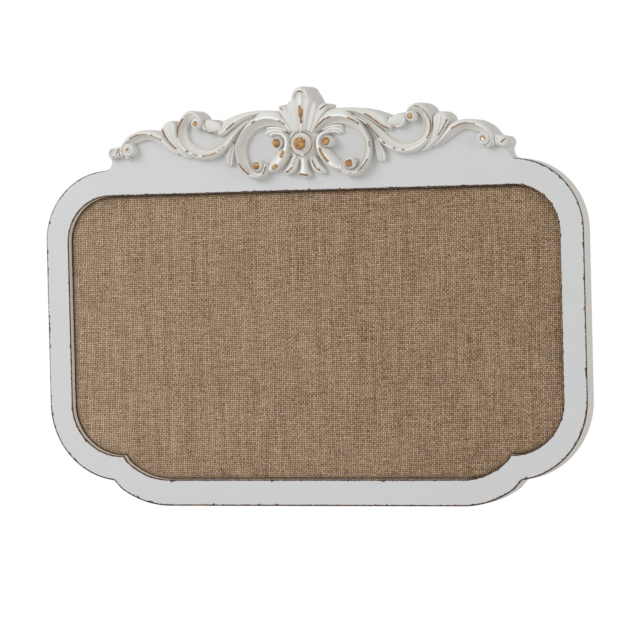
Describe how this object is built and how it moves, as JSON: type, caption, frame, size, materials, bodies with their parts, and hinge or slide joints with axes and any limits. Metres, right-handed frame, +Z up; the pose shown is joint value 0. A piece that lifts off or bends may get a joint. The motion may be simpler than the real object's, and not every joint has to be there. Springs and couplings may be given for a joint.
{
  "type": "french memo board",
  "caption": "Wall memo board: a worn white board with a scrolled crest round a padded burlap pin panel that turn buttons hold in a rear rebate, with D-ring hangers and wall bumpers.",
  "frame": {"origin": "on the wall plane, midway between the two hooks that the D-rings hang on", "axes": "+X to the right seen from the front, +Y into the wall, +Z up"},
  "size_m": [0.64, 0.0485, 0.4638],
  "materials": {
    "board_paint": "matt white chalk paint over medium-density fibreboard, rubbed through to brown at the edges",
    "ornament_paint": "cast resin in warm white paint, worn to golden brown on the raised parts",
    "burlap": "plain-woven natural jute, about 11 threads to the inch",
    "foam": "soft polyurethane sheet",
    "fibreboard": "soft fibreboard that takes pins",
    "brass": "brass-plated steel",
    "zinc_steel": "zinc-plated steel",
    "rubber": "grey translucent rubber"
  },
  "bodies": {
    "board": {"frame_board": "board_paint", "burlap_cover": "burlap", "foam_pad": "foam", "pin_core": "fibreboard", "rosette": "ornament_paint", "palmette": "ornament_paint", "foot_stem": "ornament_paint", "foot_leaf_left": "ornament_paint", "foot_leaf_right": "ornament_paint", "inner_scroll_left": "ornament_paint", "inner_scroll_right": "ornament_paint", "c_scroll_left": "ornament_paint", "c_scroll_right": "ornament_paint", "feather_leaf_left": "ornament_paint", "feather_leaf_right": "ornament_paint", "s_scroll_left": "ornament_paint", "s_scroll_right": "ornament_paint", "bud_left": "ornament_paint", "bud_right": "ornament_paint", "leaf_spray_left": "ornament_paint", "leaf_spray_right": "ornament_paint", "tail_scroll_left": "ornament_paint", "tail_scroll_right": "ornament_paint", "tail_tip_left": "ornament_paint", "tail_tip_right": "ornament_paint", "drop_leaf_left": "ornament_paint", "drop_leaf_right": "ornament_paint", "button_screw_top_left": "brass", "button_screw_top_right": "brass", "button_screw_bottom_left": "brass", "button_screw_bottom_right": "brass", "button_screw_side_left": "brass", "button_screw_side_right": "brass", "hanger_strap_left": "zinc_steel", "hanger_strap_right": "zinc_steel", "hanger_screw_left_upper": "zinc_steel", "hanger_screw_left_lower": "zinc_steel", "hanger_screw_right_upper": "zinc_steel", "hanger_screw_right_lower": "zinc_steel", "bumper_lower_left": "rubber", "bumper_lower_right": "rubber", "bumper_upper_left": "rubber", "bumper_upper_right": "rubber"},
    "ring_left": {"hanger_ring_left": "zinc_steel"},
    "ring_right": {"hanger_ring_right": "zinc_steel"},
    "button_top_left": {"turn_button_top_left": "brass"},
    "button_top_right": {"turn_button_top_right": "brass"},
    "button_bottom_left": {"turn_button_bottom_left": "brass"},
    "button_bottom_right": {"turn_button_bottom_right": "brass"},
    "button_side_left": {"turn_button_side_left": "brass"},
    "button_side_right": {"turn_button_side_right": "brass"}
  },
  "joints": [
    {"name": "ring_left_swing", "type": "hinge", "parent": "board", "child": "ring_left", "pos_m": [-0.16, -0.0034, -0.0128], "axis": [1, 0, 0], "range_deg": [0, 180]},
    {"name": "ring_right_swing", "type": "hinge", "parent": "board", "child": "ring_right", "pos_m": [0.16, -0.0034, -0.0128], "axis": [1, 0, 0], "range_deg": [0, 180]},
    {"name": "button_top_left_turn", "type": "hinge", "parent": "board", "child": "button_top_left", "pos_m": [-0.09, -0.0053, -0.0428], "axis": [0, 1, 0], "continuous": true},
    {"name": "button_top_right_turn", "type": "hinge", "parent": "board", "child": "button_top_right", "pos_m": [0.09, -0.0053, -0.0428], "axis": [0, 1, 0], "continuous": true},
    {"name": "button_bottom_left_turn", "type": "hinge", "parent": "board", "child": "button_bottom_left", "pos_m": [-0.09, -0.0053, -0.3948], "axis": [0, 1, 0], "continuous": true},
    {"name": "button_bottom_right_turn", "type": "hinge", "parent": "board", "child": "button_bottom_right", "pos_m": [0.09, -0.0053, -0.3948], "axis": [0, 1, 0], "continuous": true},
    {"name": "button_side_left_turn", "type": "hinge", "parent": "board", "child": "button_side_left", "pos_m": [-0.3075, -0.0053, -0.2033], "axis": [0, 1, 0], "continuous": true},
    {"name": "button_side_right_turn", "type": "hinge", "parent": "board", "child": "button_side_right", "pos_m": [0.3075, -0.0053, -0.2033], "axis": [0, 1, 0], "continuous": true}
  ]
}
